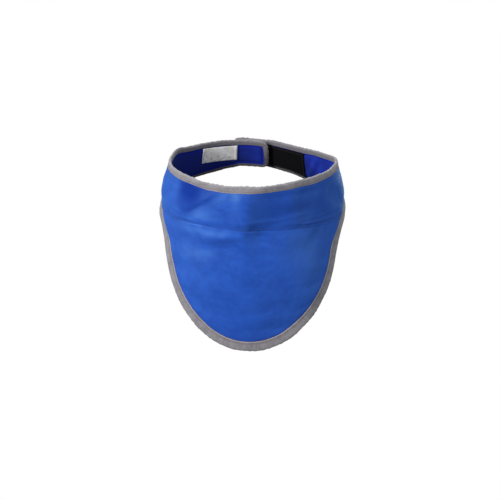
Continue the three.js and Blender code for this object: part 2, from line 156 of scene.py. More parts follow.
def front_station(degrees):
    angle = math.radians(degrees)
    return (FRONT_HALF_WIDTH * math.sin(angle), -FRONT_REACH * math.cos(angle),
            LEAN_SIDE * math.sin(angle), LEAN_FRONT - LEAN_CENTRE * math.cos(angle))


RING = np.array(LEFT_RING + [front_station(a) for a in FRONT_ANGLES] + RIGHT_RING, float)
RING_ALONG = np.r_[0, np.cumsum(np.hypot(*np.diff(RING[:, :2], axis=0).T))]
RING_ALONG -= RING_ALONG[len(LEFT_RING) + FRONT_ANGLES.index(0)]
RING_CURVES = [Spline(RING_ALONG, RING[:, k]) for k in range(4)]
LEFT_END, RIGHT_END = float(RING_ALONG[0]), float(RING_ALONG[-1])


def base(along, depth):
    along, depth = np.broadcast_arrays(np.asarray(along, float), np.asarray(depth, float))
    x, y, lean_x, lean_y = [curve(along) for curve in RING_CURVES]
    return np.stack([x + lean_x * depth, y + lean_y * depth, -depth], -1)


def normal(along, depth):
    """Outward normal of the mid-surface."""
    tiny = 0.05
    return unit(np.cross(base(along + tiny, depth) - base(along - tiny, depth),
                         base(along, depth - tiny) - base(along, depth + tiny)))


def rim_scale(along, depth):
    """Real length per mm of along."""
    return np.linalg.norm(base(along + 0.05, depth) - base(along - 0.05, depth), axis=-1) / 0.1


# The bib's hinge in the CAD frame fixes where the surface lies
_hinge = base(0.0, CREASE_DEPTH) + normal(0.0, CREASE_DEPTH) * HINGE_OUT
SHIFT = np.array(JOINT["bib_lift"]["pos_m"]) * 1000 - _hinge


# ------------------------------------------------------------------ edges and crease
def crease(along):
    return CREASE_DEPTH + CREASE_DROP * (np.minimum(np.abs(along), CREASE_LIMIT) / CORNER_AT) ** 2


# Bib's lower edge, right half: along, depth
BIB_HALF = [
    (0, 158.3), (11.2, 156.9), (21.5, 152.8), (29.7, 147.5), (38.2, 140.0), (47.6, 130.1),
    (55.4, 119.8), (61.8, 110.1), (67.5, 100), (72.4, 90), (77.0, 80), (82.1, 70),
    (89.2, 60.2), (96, 54.2), (102, 50.6), (108, 48.1), (114, 46.7), (121, 46.0), (128, 45.6)]
BIB_EDGE = Spline(*zip(*([(-x, y) for x, y in BIB_HALF[:0:-1]] + BIB_HALF)))
# The line the fold takes, wandering either side of the hinge line: along, depth
FOLD = Spline(*zip(
    (-125, 46.2), (-108, 46.4), (-95, 45.6), (-80, 44.3), (-54, 41.5), (-39, 40.5),
    (-24, 40.9), (-9, 41.2), (4.5, 41.4), (21, 42.0), (38, 42.8), (57, 44.6), (80, 47.0),
    (95, 47.8), (108, 47.0), (125, 46.2)))


def strap_low(along):
    along = np.asarray(along, float)
    wander = (1.0 * bell(along + 178, 13) - 1.4 * smooth((-along - 197) / 9)
              - 1.9 * smooth((191 - along) / 20) * smooth((along - 128) / 24)
              + 0.6 * bell(along - 198, 7))
    widening = smooth((205 - np.abs(along)) / (205 - CORNER_AT))
    return STRAP_DEPTH + (CREASE_DEPTH + CREASE_DROP - STRAP_DEPTH) * widening + wander


def low_edge(along):
    """Depth of the lower edge: the bib's in front, blending to the straps'."""
    along = np.asarray(along, float)
    strap = smooth((np.abs(along) - 116) / 8)
    return (BIB_EDGE(np.clip(along, -128, 128)) * (1 - strap) + strap_low(along) * strap
            - 2.0 * bell(along - 107, 10.5) + 0.9 * bell(along - 88, 8))


def rim_depth(along):
    """The rim sags left of the front, rises on the right and droops at the right end."""
    along = np.asarray(along, float)
    sag = 1.5 * bell(along + 26, 22) + 0.55 * bell(along, 55) + 0.9 * bell(along + 149, 9)
    rise = 2.2 * smooth((along - 16) / 42) * smooth((126 - along) / 18)
    droop = 1.3 * smooth((along - 184) / 30)
    return sag - rise + droop + 0.20 * np.sin(along / 8.5 + 0.6) + 0.14 * np.sin(along / 4.1)


# ------------------------------------------------------------------ waves
rng = np.random.RandomState(7)


def wave_table(count, low, high):
    """Rows: wave number along, wave number in depth, phase, amplitude."""
    return [(rng.uniform(low, high) * math.cos(angle), rng.uniform(low, high) * math.sin(angle),
             rng.uniform(0, 6.28), rng.uniform(0.4, 1.0))
            for angle in rng.uniform(0, math.pi, count)]


BROAD_WAVES = wave_table(14, 0.035, 0.10)
FINE_WAVES = wave_table(16, 0.15, 0.45)


def ripple(along, depth, table):
    total = 0
    for wave_along, wave_depth, phase, amplitude in table:
        total = total + amplitude * np.sin(wave_along * along + wave_depth * depth + phase)
    return total / math.sqrt(sum(wave[3] ** 2 for wave in table) / 2)


def grid_faces(columns, rows, first=0, flip=False):
    i, j = np.meshgrid(np.arange(columns - 1), np.arange(rows - 1), indexing="ij")
    corner = (i * rows + j).ravel() + first
    quads = np.stack([corner, corner + 1, corner + rows + 1, corner + rows], 1)
    return (quads[:, ::-1] if flip else quads).tolist()


# ------------------------------------------------------------------ cloth simulation
SIM_SCALE = 100.0       # mm per simulation unit: 10 times life size, for a steady solve
SIM_FRAMES = 20
CLOTH_SETTINGS = dict(
    quality=6, mass=0.6,
    tension_stiffness=60, compression_stiffness=60, shear_stiffness=30, bending_stiffness=18,
    tension_damping=20, compression_damping=20, shear_damping=20, bending_damping=4,
    air_damping=6, vertex_group_mass="pin", pin_stiffness=4,
    shrink_min=-0.022, shrink_max=-0.022)     # cut a little too big, so it buckles


def edge_room(along, depth):
    """Distance from the rim or the lower edge, eased for the edge's slope."""
    slope = np.abs(np.gradient(low_edge(along[:, 0]), along[:, 0]))[:, None]
    return np.minimum(depth, (low_edge(along) - depth) / np.sqrt(1 + 0.6 * slope ** 2))


def run_cloth(start, pin):
    """Settle the sheet as cloth and return its points in mm."""
    mesh = bpy.data.meshes.new("cloth_sim")
    points = [tuple(point) for point in (start / SIM_SCALE).reshape(-1, 3)]
    mesh.from_pydata(points, [], grid_faces(*pin.shape))
    sheet = bpy.data.objects.new("cloth_sim", mesh)
    scene = bpy.context.scene
    scene.collection.objects.link(sheet)
    group = sheet.vertex_groups.new(name="pin")
    for k, weight in enumerate(pin.ravel()):
        if weight > 0.01:
            group.add([k], float(weight), "REPLACE")
    cloth = sheet.modifiers.new("cloth", "CLOTH")
    for key, value in CLOTH_SETTINGS.items():
        setattr(cloth.settings, key, value)
    cloth.settings.effector_weights.gravity = 0.10
    cloth.collision_settings.use_self_collision = False
    cloth.point_cache.frame_start = 1
    cloth.point_cache.frame_end = SIM_FRAMES
    scene.frame_start, scene.frame_end = 1, SIM_FRAMES
    for number in range(1, SIM_FRAMES + 1):
        scene.frame_set(number)
    settled = sheet.evaluated_get(bpy.context.evaluated_depsgraph_get()).data
    flat = np.empty(len(settled.vertices) * 3)
    settled.vertices.foreach_get("co", flat)
    scene.frame_set(1)
    bpy.data.objects.remove(sheet)
    bpy.data.meshes.remove(mesh)
    return flat.reshape(*pin.shape, 3) * SIM_SCALE


def simulate():
    """Soft waves of the front cover, held along its edges and the crease.
    Returns the stations along, and the offsets on a grid of them by share of depth."""
    stations = np.linspace(-CUT_AT, CUT_AT, 97)
    along, share = np.meshgrid(stations, np.linspace(0, 1, 73), indexing="ij")
    depth = share * low_edge(along)
    rest, out = base(along, depth), normal(along, depth)
    room = edge_room(along, depth)
    pin = np.clip(1 - (room - 6.0) / 5.0, 0, 1)
    pin = np.maximum(pin, 0.55 * bell(depth - crease(along), 3.0))
    pin = np.maximum(pin, np.clip((np.abs(along) - 94) / 10, 0, 1))
    start = rest + out * (0.12 * ripple(along, depth, BROAD_WAVES))[..., None]
    lift = ((run_cloth(start, pin) - rest) * out).sum(-1)
    for _ in range(2):      # the lead rubber behind it smooths the smallest waves
        padded = np.pad(lift, 1, mode="edge")
        lift = (4 * lift + padded[2:, 1:-1] + padded[:-2, 1:-1]
                + padded[1:-1, 2:] + padded[1:-1, :-2]) / 8
    lift = lift - lift[pin > 0.9].mean()
    # limit the height, calm the bib, and fade out to the edges
    lift = (1.0 * np.tanh(lift / 1.8) * (1 - 0.5 * smooth((depth - 46) / 20))
            * np.clip((room - 6) / 7, 0, 1) * np.clip((104 - np.abs(along)) / 8, 0, 1))
    return stations, lift


SIMULATED = simulate()


def sim_relief(along, depth):
    """Simulated offsets, interpolated."""
    if SIMULATED is None:
        return 0 * (along + depth)
    stations, lift = SIMULATED
    share = np.clip(depth / low_edge(along), 0, 1)
    x = (along - stations[0]) / (stations[-1] - stations[0]) * (len(stations) - 1)
    x = np.clip(x, 0, len(stations) - 1.001)
    y = share * (lift.shape[1] - 1) * 0.9999
    i, j = x.astype(int), y.astype(int)
    x, y = x - i, y - j
    value = (lift[i, j] * (1 - x) * (1 - y) + lift[i + 1, j] * x * (1 - y)
             + lift[i, j + 1] * (1 - x) * y + lift[i + 1, j + 1] * x * y)
    return np.where(np.abs(along) < CUT_AT, value, 0)


# ------------------------------------------------------------------ relief of the cloth
# Soft folds, each from one point to another; a negative height is a valley. Columns:
# along, depth, along, depth, width, height, fade at the ends, skew (one side steeper)
RIDGES = [
    # thin lines that run with the crease
    (-8, 34.6, 20, 32.2, 1.5, 0.34, 0.4, 0.3), (16, 33.4, 52, 29.6, 1.4, 0.30, 0.4, 0.3),
    (-72, 40.2, -50, 38.2, 1.2, 0.30, 0.5, 0.3), (-90, 33, -66, 35, 1.3, 0.26, 0.5, 0.3),
    (44, 41.0, 84, 44.2, 1.1, -0.34, 0.4, 0), (46, 37.5, 88, 38.2, 1.1, -0.30, 0.4, 0),
    (50, 39.2, 86, 41.0, 1.3, 0.22, 0.4, 0), (60, 33.5, 96, 32.0, 1.3, -0.22, 0.4, 0),
    # upright fold where the band bends at the centre, and the valley right of it
    (-5.2, 5, -2.5, 40, 11, 3.2, 0.5, -0.2), (22, 4, 25, 38, 13, -1.7, 0.6, 0),
    # diagonal wrinkles left on the band, an upright pair on the right
    (-60, 30, -34, 11, 3.4, 0.95, 0.6, -0.35), (-36, 22, -18, 16, 5.0, 0.35, 0.6, 0),
    (66, 8, 80, 38, 8, 0.9, 0.6, 0), (48, 10, 54, 34, 8, -0.8, 0.6, 0),
    # the sides stand out where the ring turns back
    (-103, 13, -106, 35, 13, 2.2, 0.6, 0), (104, 12, 106, 32, 14, 1.2, 0.6, 0),
    # below the crease
    (-36, 52, -3, 45.5, 4.6, 1.15, 0.6, 0), (-44, 63, -3, 54, 6.5, -0.55, 0.6, -0.1),
    (-1.5, 46, 2.5, 55, 2.4, -0.55, 0.6, 0), (2, 49, 26, 56, 3.8, -0.5, 0.6, -0.3),
    (-70, 76, -16, 72, 11, 1.1, 0.6, 0), (-34, 92, 2, 118, 13, 0.9, 0.6, 0),
    (20, 80, 30, 130, 14, -1.1, 0.6, 0), (58, 56, 48, 84, 9, 0.9, 0.6, 0),
    (-44, 100, -30, 130, 9, -0.8, 0.6, 0),
    # straps
    (140, 10, 150, 32, 3.2, 0.8, 0.5, 0), (150, 9, 160, 29, 2.8, 0.55, 0.5, 0),
    (145, 9, 155, 31, 2.4, -0.55, 0.5, 0), (-152, 8, -145, 34, 3.5, 0.5, 0.5, 0),
    (-126, 14, -118, 40, 4.0, 0.4, 0.5, 0)]


def ridge(along, depth, start_along, start_depth, end_along, end_depth,
          width, height, fade, skew):
    step_along, step_depth = end_along - start_along, end_depth - start_depth
    length = np.hypot(step_along, step_depth)
    step_along, step_depth = step_along / length, step_depth / length
    past, below = along - start_along, depth - start_depth
    share = (past * step_along + below * step_depth) / length
    aside = below * step_along - past * step_depth
    ends = smooth(share / fade + 0.5) * smooth((1 - share) / fade + 0.5)
    return height * ends * bell(aside, width * (1 + skew * np.tanh(aside / width)))


def fold_relief(along, depth, front):
    """The crease: a thin sharp valley between two soft rolls."""
    below = depth - FOLD(np.clip(along, -CREASE_LIMIT, CREASE_LIMIT))
    valley = -0.33 * bell(below, 0.85) * (0.72 + 0.28 * np.sin(along / 9.0 + 1.0))
    roll_above = 0.35 * bell(below + 4.5, 3.6)
    roll_below = (0.32 - 0.10 * np.tanh(along / 20)) * bell(below - 8, 7.0)
    return front * (valley + roll_above + roll_below)


def corner_relief(along, above_edge):
    """The lower binding flares at the bib's corners, with a groove above it."""
    corner = smooth((np.abs(along) - 90) / 12) * smooth((136 - np.abs(along)) / 12)
    flare = 1.15 * bell(above_edge, 7.5) - 0.8 * bell(above_edge - 9.5, 2.6)
    return corner * (0.9 - 0.25 * np.sign(along)) * flare


def relief(along, depth):
    """Height of the cloth off the mid-surface."""
    along, depth = np.broadcast_arrays(np.asarray(along, float), np.asarray(depth, float))
    above_edge = low_edge(along) - depth
    front = smooth((118 - np.abs(along)) / 20)
    right = smooth((along + 6) / 16) * smooth((104 - along) / 34)
    height = (0.40 * ripple(along, depth, BROAD_WAVES) * smooth(depth / 12)
              * smooth(above_edge / 14))
    height = height + 0.04 * ripple(along, depth, FINE_WAVES) * smooth(depth / 9)
    height = height + fold_relief(along, depth, front)
    # on the right half the crease lies in a shallow valley
    height = height - 2.6 * right * smooth(depth / 42) * smooth((98 - depth) / 55)
    # the bib swells
    height = height + 1.5 * front * smooth((depth - 44) / 50) * smooth(above_edge / 60)
    # hollow at the left of the band
    height = height - 1.2 * bell(along + 50, 12.5) * bell(depth - 15, 9.5)
    height = height + corner_relief(along, above_edge)
    for row in RIDGES:
        height = height + ridge(along, depth, *row)
    return height + sim_relief(along, depth)


def at(along, depth, out=0.0):
    """Point on the finished cloth, out mm from its mid-thickness, in metres."""
    along, depth = np.broadcast_arrays(np.asarray(along, float), np.asarray(depth, float))
    lift = (relief(along, depth) + out)[..., None]
    return (base(along, depth) + normal(along, depth) * lift + SHIFT) / 1000.0


def puff(inside):
    """How far a cloth swells, by distance inside the edge."""
    return 0.28 * (1 - np.exp(-(np.maximum(inside - 5.8, 0) / 7.0) ** 1.3))


def wide(depth):
    """Extra binding width: more on the bib, a little less on the rim."""
    depth = np.asarray(depth)
    return (2.6 * smooth((depth - 52) / 19) + 0.3 * smooth((depth - 132) / 22)
            - 0.75 * smooth((14 - depth) / 9))


def thin(inside):
    """The layers are pressed together under the binding."""
    return 0.56 + 0.44 * smooth((np.asarray(inside) - 5.0) / 3.4)


# ------------------------------------------------------------------ mesh helpers
def finish_mesh(name, verts, faces, material, coords, angle=40):
    """Smooth-shaded object; coords become the cloth coordinates "sh" of the materials."""
    mesh = bpy.data.meshes.new(name)
    mesh.from_pydata([tuple(vert) for vert in verts], [], faces)
    mesh.validate(verbose=False)
    attribute = mesh.attributes.new("sh", "FLOAT_VECTOR", "POINT")
    attribute.data.foreach_set("vector", np.asarray(coords, np.float32).ravel())
    work = bmesh.new()
    work.from_mesh(mesh)
    bmesh.ops.recalc_face_normals(work, faces=work.faces)
    work.to_mesh(mesh)
    work.free()
    mesh.polygons.foreach_set("use_smooth", [True] * len(mesh.polygons))
    mesh.set_sharp_from_angle(angle=math.radians(angle))
    piece = bpy.data.objects.new(name, mesh)
    bpy.context.scene.collection.objects.link(piece)
    mesh.materials.append(material)
    return piece


def tube_faces(rings, around, first=0):
    """Faces of a closed tube with both ends capped."""
    faces = []
    for i in range(rings - 1):
        near = first + i * around
        far = near + around
        for j in range(around):
            k = (j + 1) % around
            faces.append((near + j, near + k, far + k, far + j))
    last = first + (rings - 1) * around
    faces.append(tuple(range(first, first + around))[::-1])
    faces.append(tuple(range(last, last + around)))
    return faces


def slab(name, along, depth, outer, inner, material, third):
    """Closed sheet between two offsets over a grid; third is the third coordinate."""
    columns, rows = along.shape
    verts = np.concatenate([at(along, depth, out).reshape(-1, 3) for out in (outer, inner)])
    coords = np.concatenate([np.stack([along, depth, third], -1).reshape(-1, 3)] * 2)
    count = columns * rows
    faces = grid_faces(columns, rows) + grid_faces(columns, rows, count, True)
    border = ([i * rows for i in range(columns)]
              + [(columns - 1) * rows + j for j in range(1, rows)]
              + [i * rows + rows - 1 for i in range(columns - 2, -1, -1)]
              + list(range(rows - 2, 0, -1)))
    for a, b in zip(border, border[1:] + border[:1]):
        faces.append((a, b, b + count, a + count))
    return finish_mesh(name, verts, faces, material, coords)


def edge_distance(along, depth, edges):
    """Distance from each grid point to the nearest point of the edge lines."""
    points = base(along, depth).reshape(-1, 3)
    best = np.full(len(points), 1e9)
    chunk = 4000
    for edge in edges:
        line_points = base(edge[:, 0], edge[:, 1])
        for k in range(0, len(points), chunk):
            part = slice(k, k + chunk)
            squares = ((points[part, None, :] - line_points[None]) ** 2).sum(-1)
            best[part] = np.minimum(best[part], np.sqrt(squares.min(1)))
    return best.reshape(along.shape)


# ------------------------------------------------------------------ paths
def line(start, end, depth_at, count=200):
    along = np.linspace(start, end, count)
    return np.stack([along, depth_at(along)], 1)


def resample(path, step):
    """Even stations on a path, and their running length."""
    path = np.asarray(path, float)
    parts = [np.linspace(path[i], path[i + 1], 12, endpoint=False)
             for i in range(len(path) - 1)]
    dense = np.concatenate(parts + [path[-1:]])
    points = base(dense[:, 0], dense[:, 1])
    run = np.r_[0, np.cumsum(np.linalg.norm(np.diff(points, axis=0), axis=1))]
    stations = np.linspace(0, run[-1], max(2, int(round(run[-1] / step))) + 1)
    columns = [np.interp(stations, run, dense[:, k]) for k in range(2)]
    return np.stack(columns, 1), stations


def inward_steps(path, inward):
    """Change of along and of depth per mm inward from the path."""
    scale = rim_scale(path[:, 0], path[:, 1])
    run_along = np.gradient(path[:, 0]) * scale
    run_depth = np.gradient(path[:, 1])
    length = np.hypot(run_along, run_depth)
    return -(run_depth / length) * inward / scale, run_along / length * inward


def free_end(start, end, radius):
    """Edge of a strap's end: rim, rounded corner, end, rounded corner, lower edge."""
    way = math.copysign(1, end - start)
    turn = end - way * radius
    angles = np.linspace(0, math.pi / 2, 10)
    rim = np.linspace(start, turn, 40)
    top, low = float(rim_depth(turn)), float(low_edge(end))
    path = [(x, float(rim_depth(x))) for x in rim]
    path += [(end - way * radius * (1 - math.sin(a)), top + radius * (1 - math.cos(a)))
             for a in angles[1:]]
    path += [(end - way * radius * (1 - math.cos(a)), low - radius * (1 - math.sin(a)))
             for a in angles]
    path += [(x, float(low_edge(x))) for x in rim[::-1][1:]]
    return np.array(path)


def upper(path):
    """The part of a strap's edge path that is not its lower edge."""
    return path[:int(np.argmax(path[:, 1] > 14.0)) + 3]


# ------------------------------------------------------------------ shader graphs
class Signal:
    """A shader value; arithmetic on it adds Math nodes."""

    def __init__(self, graph, socket):
        self.graph, self.socket = graph, socket

    def math(self, operation, first, second=0.0):
        node = self.graph.node("Math", operation=operation)
        self.graph.feed(node.inputs[0], first)
        self.graph.feed(node.inputs[1], second)
        return Signal(self.graph, node.outputs[0])

    def __add__(self, other):
        return self.math("ADD", self, other)

    def __radd__(self, other):
        return self.math("ADD", other, self)

    def __sub__(self, other):
        return self.math("SUBTRACT", self, other)

    def __rsub__(self, other):
        return self.math("SUBTRACT", other, self)

    def __mul__(self, other):
        return self.math("MULTIPLY", self, other)

    def __rmul__(self, other):
        return self.math("MULTIPLY", other, self)

    def __truediv__(self, other):
        return self.math("DIVIDE", self, other)

    def __pow__(self, other):
        return self.math("POWER", self, other)

    def __abs__(self):
        return self.math("ABSOLUTE", self)

    def sine(self):
        return self.math("SINE", self)

    def clamp(self):
        """Clamp this Math node's own result to 0..1."""
        self.socket.node.use_clamp = True
        return self

    def stripes(self, pitch):
        """Sine stripes in 0..1."""
        return (self * (2 * math.pi / pitch)).sine() * 0.5 + 0.5


class Graph:
    def __init__(self, owner):
        owner.use_nodes = True
        self.tree = owner.node_tree
        self.tree.nodes.clear()

    def node(self, kind, **settings):
        node = self.tree.nodes.new("ShaderNode" + kind)
        for key, value in settings.items():
            setattr(node, key, value)
        return node

    def feed(self, target, value):
        """Link a signal, or set a number or an RGB colour."""
        if isinstance(value, Signal):
            self.tree.links.new(value.socket, target)
        else:
            target.default_value = (*value, 1) if isinstance(value, tuple) else value

    def build(self, kind, inputs, output=0, **settings):
        node = self.node(kind, **settings)
        for key, value in inputs.items():
            self.feed(node.inputs[key], value)
        return Signal(self, node.outputs[output])

    def noise(self, vector, scale, detail, roughness):
        return self.build("TexNoise", {"Vector": vector, "Scale": scale, "Detail": detail,
                                       "Roughness": roughness})

    def ramp(self, factor, low, high):
        """Colour ramp between two (position, colour) stops."""
        node = self.node("ValToRGB")
        for element, (position, colour) in zip(node.color_ramp.elements, (low, high)):
            element.position = position
            element.color = (*colour, 1)
        self.feed(node.inputs[0], factor)
        return Signal(self, node.outputs[0])

    def mix(self, factor, first, second):
        return self.build("Mix", {0: factor, 6: first, 7: second}, 2, data_type="RGBA")

    def bump(self, height, strength, distance, under=None):
        inputs = {"Height": height, "Strength": strength, "Distance": distance}
        if under is not None:
            inputs["Normal"] = under
        return self.build("Bump", inputs)

    def cloth_vector(self):
        node = self.node("Attribute", attribute_name="sh")
        return Signal(self, node.outputs["Vector"])

    def split(self, vector):
        node = self.node("SeparateXYZ")
        self.feed(node.inputs[0], vector)
        return [Signal(self, output) for output in node.outputs]


def new_material(name):
    material = bpy.data.materials.new(name)
    return material, Graph(material)


def finish_material(graph, inputs):
    output = graph.node("OutputMaterial")
    graph.feed(output.inputs[0], graph.build("BsdfPrincipled", inputs))


def times(colour, factors):
    return tuple(a * b for a, b in zip(colour, factors))


# ------------------------------------------------------------------ materials
def nylon(name, light, dark, roughness, sheen, specular, shade_tint, shade_patches):
    """Woven nylon. Its tone patches are painted shade: soft patches in the colour dark
    times a tint, given as along, depth, half width, half height, strength."""
    material, graph = new_material(name)
    vector = graph.cloth_vector()
    along, depth, inside = graph.split(vector)
    broad = graph.noise(vector, scale=0.030, detail=3, roughness=0.55)
    mid = graph.noise(vector, scale=0.16, detail=4, roughness=0.6)
    fine = graph.noise(vector, scale=2.2, detail=2, roughness=0.6)
    colour = graph.ramp(broad * 0.55 + mid * 0.45, (0.34, dark), (0.66, light))
    thread_wave = math.pi / 0.42        # thread pitch in mm
    weave = (along * thread_wave).sine() * (depth * thread_wave).sine() * 0.5 + 0.5
    # painted shade: darker, less specular patches where little light falls
    for centre_along, centre_depth, half_width, half_height, strength in shade_patches:
        across = (along - centre_along) / half_width
        down = (depth - centre_depth) / half_height
        patch = (1.0 - (abs(across) ** 2.0 + abs(down) ** 2.0)).clamp()
        patch = patch * patch * (3.0 - patch * 2.0) * (0.55 + broad * 0.9)
        colour = graph.mix((patch * strength).clamp(), colour, times(dark, shade_tint))
        # the painted shade patches also get less specular
        specular = specular * (1.0 - (patch * (strength * 1.25)).clamp()).clamp()
    colour = graph.mix((1.0 - weave) * 0.14, colour, times(dark, (0.5,) * 3))
    # painted shadow: a thin saturated dark line, then a wider soft painted shade, where the cloth
    # dips under the tape
    edge = (1.0 - (inside - 6.6) / 1.5).clamp()
    colour = graph.mix(edge * 0.55, colour, times(dark, (0.30, 0.35, 0.80)))
    near = (1.0 - (inside - 6.6) / 7.0).clamp()
    colour = graph.mix(near * 0.16, colour, times(dark, (0.7,) * 3))
    # paler rubbed specks
    speck = ((fine - 0.62).clamp() * 1.1).clamp()
    colour = graph.mix(speck, colour, tuple(min(1, c * 1.6 + 0.02) for c in light))
    relief_normal = graph.bump(mid, strength=0.13, distance=0.0014)
    finish_material(graph, {
        "Base Color": colour,
        "Roughness": roughness + (mid - 0.5) * 0.16,
        "Specular IOR Level": specular,
        "Specular Tint": (0.42, 0.95, 0.90),
        "Sheen Weight": sheen,
        "Sheen Roughness": 0.5,
        "Sheen Tint": (0.36, 0.92, 0.85),
        "Normal": graph.bump(weave, strength=0.40, distance=0.00009, under=relief_normal)})
    return material


def tape_material(name):
    """Ribbed tape. Its coordinates: along the tape, across from the fold, and side
    (1 outside, -1 inside, down to -2 where the inside of a strap's lower edge gets painted
    shade)."""
    material, graph = new_material(name)
    vector = graph.cloth_vector()
    along, across, side = graph.split(vector)
    rib, cross = along.stripes(0.85), across.stripes(0.7)
    blot = graph.noise(vector, scale=0.16, detail=3, roughness=0.6)
    fine = graph.noise(vector, scale=1.9, detail=2, roughness=0.7)
    colour = graph.ramp(blot * 0.45 + fine * 0.55,
                        (0.32, (0.122, 0.114, 0.126)), (0.66, (0.312, 0.296, 0.318)))
    colour = graph.mix((1.0 - rib) * 0.40, colour, (0.088, 0.080, 0.088))
    # a darker line of needle holes, a warm pale selvedge at the lip, and a patchy painted
    # highlight along the fold
    holes = (1.0 - (abs(across - STITCH_INSET) * 1.3).clamp()).clamp()
    colour = graph.mix(holes * 0.34, colour, (0.080, 0.068, 0.070))
    lip = ((across - 5.85) * 2.6).clamp()
    colour = graph.mix(lip * 0.80, colour, (0.365, 0.272, 0.225))
    # painted highlight along the fold
    fold = (1.0 - ((across + 0.6) * 0.8).clamp()).clamp()
    colour = graph.mix(fold * fine * 0.75, colour, (0.42, 0.41, 0.43))
    # darker inside, and a near-black painted shade on the inside along a strap's lower edge
    inner = (side * -1.0).clamp()
    colour = graph.mix(inner * 0.50, colour, (0.070, 0.064, 0.070))
    painted_low_shade = (side * -1.0 - 1.0).clamp()
    colour = graph.mix(painted_low_shade * 0.88, colour, (0.020, 0.014, 0.012))
    ribs = graph.bump(rib * (0.6 + cross * 0.4), strength=0.60, distance=0.00018)
    finish_material(graph, {
        "Base Color": colour,
        "Roughness": 0.62 + fine * 0.22,
        "Sheen Weight": 0.35,
        "Sheen Roughness": 0.5,
        "Normal": graph.bump(fine, strength=0.55, distance=0.00035, under=ribs)})
    return material


def plain(name, dark, light, roughness, scale, strength, distance, sheen=0.0, specular=0.4):
    """Mottled two-colour material; strength and distance are those of its bump."""
    material, graph = new_material(name)
    vector = graph.cloth_vector()
    mottle = graph.noise(vector, scale=scale, detail=4, roughness=0.6)
    grain = graph.noise(vector, scale=scale * 7, detail=2, roughness=0.6)
    finish_material(graph, {
        "Base Color": graph.ramp(mottle, (0.3, dark), (0.7, light)),
        "Roughness": (roughness - 0.06) + mottle * 0.12,
        "Sheen Weight": sheen,
        "Specular IOR Level": specular,
        "Normal": graph.bump(grain, strength, distance)})
    return material


def thread(name, dark, light, sheen, roughness=0.7):
    return plain(name, dark, light, roughness, scale=2.0, strength=0.4, distance=0.0001,
                 sheen=sheen)


def label_material(name):
    """Soiled white satin without print; the third coordinate marks the hems."""
    material, graph = new_material(name)
    vector = graph.cloth_vector()
    along, depth, hem = graph.split(vector)
    broad = graph.noise(vector, scale=0.10, detail=3, roughness=0.6)
    fine = graph.noise(vector, scale=0.9, detail=3, roughness=0.6)
    colour = graph.ramp(broad * 0.6 + fine * 0.4,
                        (0.34, (0.64, 0.61, 0.55)), (0.56, (0.97, 0.955, 0.90)))
    satin = depth.stripes(0.32)
    colour = graph.mix(satin * 0.10, colour, (0.25, 0.24, 0.23))
    # soiled patches, more of them lower down
    low = ((depth - 9.0) * 0.014).clamp()
    blotch = graph.noise(vector, scale=0.30, detail=4, roughness=0.7)
    dirt = ((blotch + low - 0.545).clamp() * 3.6).clamp()
    colour = graph.mix(dirt * 0.55, colour, (0.23, 0.185, 0.14))
    colour = graph.mix((hem * 1.0).clamp() * 0.60, colour, (0.70, 0.70, 0.70))
    # dark spots near the lower middle
    spot = graph.noise(vector, scale=0.62, detail=1, roughness=0.5)
    spot = ((spot - 0.655).clamp() * 9.0).clamp()
    middle = (1.0 - abs(along + 178.0) * 0.085).clamp()
    where = (middle * ((depth - 11.0) * 0.3).clamp()).clamp()
    colour = graph.mix((spot * where * 0.8).clamp(), colour, (0.06, 0.05, 0.045))
    satin_normal = graph.bump(satin, strength=0.3, distance=0.00006)
    finish_material(graph, {
        "Base Color": colour,
        "Roughness": 0.5,
        "Sheen Weight": 0.2,
        "Normal": graph.bump(fine, strength=0.25, distance=0.0003, under=satin_normal)})
    return material


# the cover's tone patches are painted shade on the hollow at the band's left and on the band's
# right half
COVER = nylon(
    "royal_blue_coated_nylon", light=(0.0135, 0.0725, 0.450), dark=(0.0080, 0.0440, 0.328),
    roughness=0.52, sheen=0.26, specular=0.5, shade_tint=(0.22, 0.28, 0.58),
    shade_patches=((-49, 6, 27, 22, 0.62), (-59, 17, 17, 25, 0.62),
           (50, 20, 62, 40, 0.27), (12, 20, 18, 38, 0.14)))
# the lining is the cover's royal blue nylon: its darker, more saturated colours and its tone
# patches are painted shade on the inner faces, deepest on the left strap
LINING = nylon(
    "royal_blue_lining_nylon", light=(0.0120, 0.0315, 0.390), dark=(0.0080, 0.0175, 0.262),
    roughness=0.55, sheen=0.05, specular=0.30, shade_tint=(1.35, 0.80, 0.34),
    shade_patches=((-152, 20, 105, 90, 0.66), (-190, 33, 40, 24, 0.40), (159, 27, 15, 24, 0.62),
           (146, 31, 10, 14, 0.35), (133, 14, 8, 30, 0.30)))
TAPE = tape_material("grey_binding_tape")
THREAD = thread("grey_brown_thread", (0.100, 0.080, 0.072), (0.170, 0.138, 0.122), sheen=0.2)
LOOP = plain("black_loop_pile", (0.0022, 0.0022, 0.0028), (0.0065, 0.0065, 0.0075),
             roughness=0.95, scale=0.8, strength=0.9, distance=0.0005, specular=0.06)
HOOK = plain("black_hook_tape", (0.006, 0.006, 0.007), (0.016, 0.016, 0.018),
             roughness=0.5, scale=1.2, strength=0.4, distance=0.0002, specular=0.45)
LABEL = label_material("blank_satin_label")
LEAD = plain("lead_vinyl_rubber", (0.028, 0.029, 0.032), (0.060, 0.062, 0.068),
             roughness=0.82, scale=0.25, strength=0.35, distance=0.0003, specular=0.3)
CREASE_THREAD = thread("blue_crease_thread", (0.020, 0.055, 0.26), (0.035, 0.095, 0.40),
                       sheen=0.2)
DARK_THREAD = thread("dark_grey_thread", (0.045, 0.042, 0.042), (0.110, 0.105, 0.105),
                     sheen=0.1)
BLACK_THREAD = thread("black_thread", (0.008, 0.008, 0.009), (0.02, 0.02, 0.022),
                      sheen=0.1, roughness=0.6)


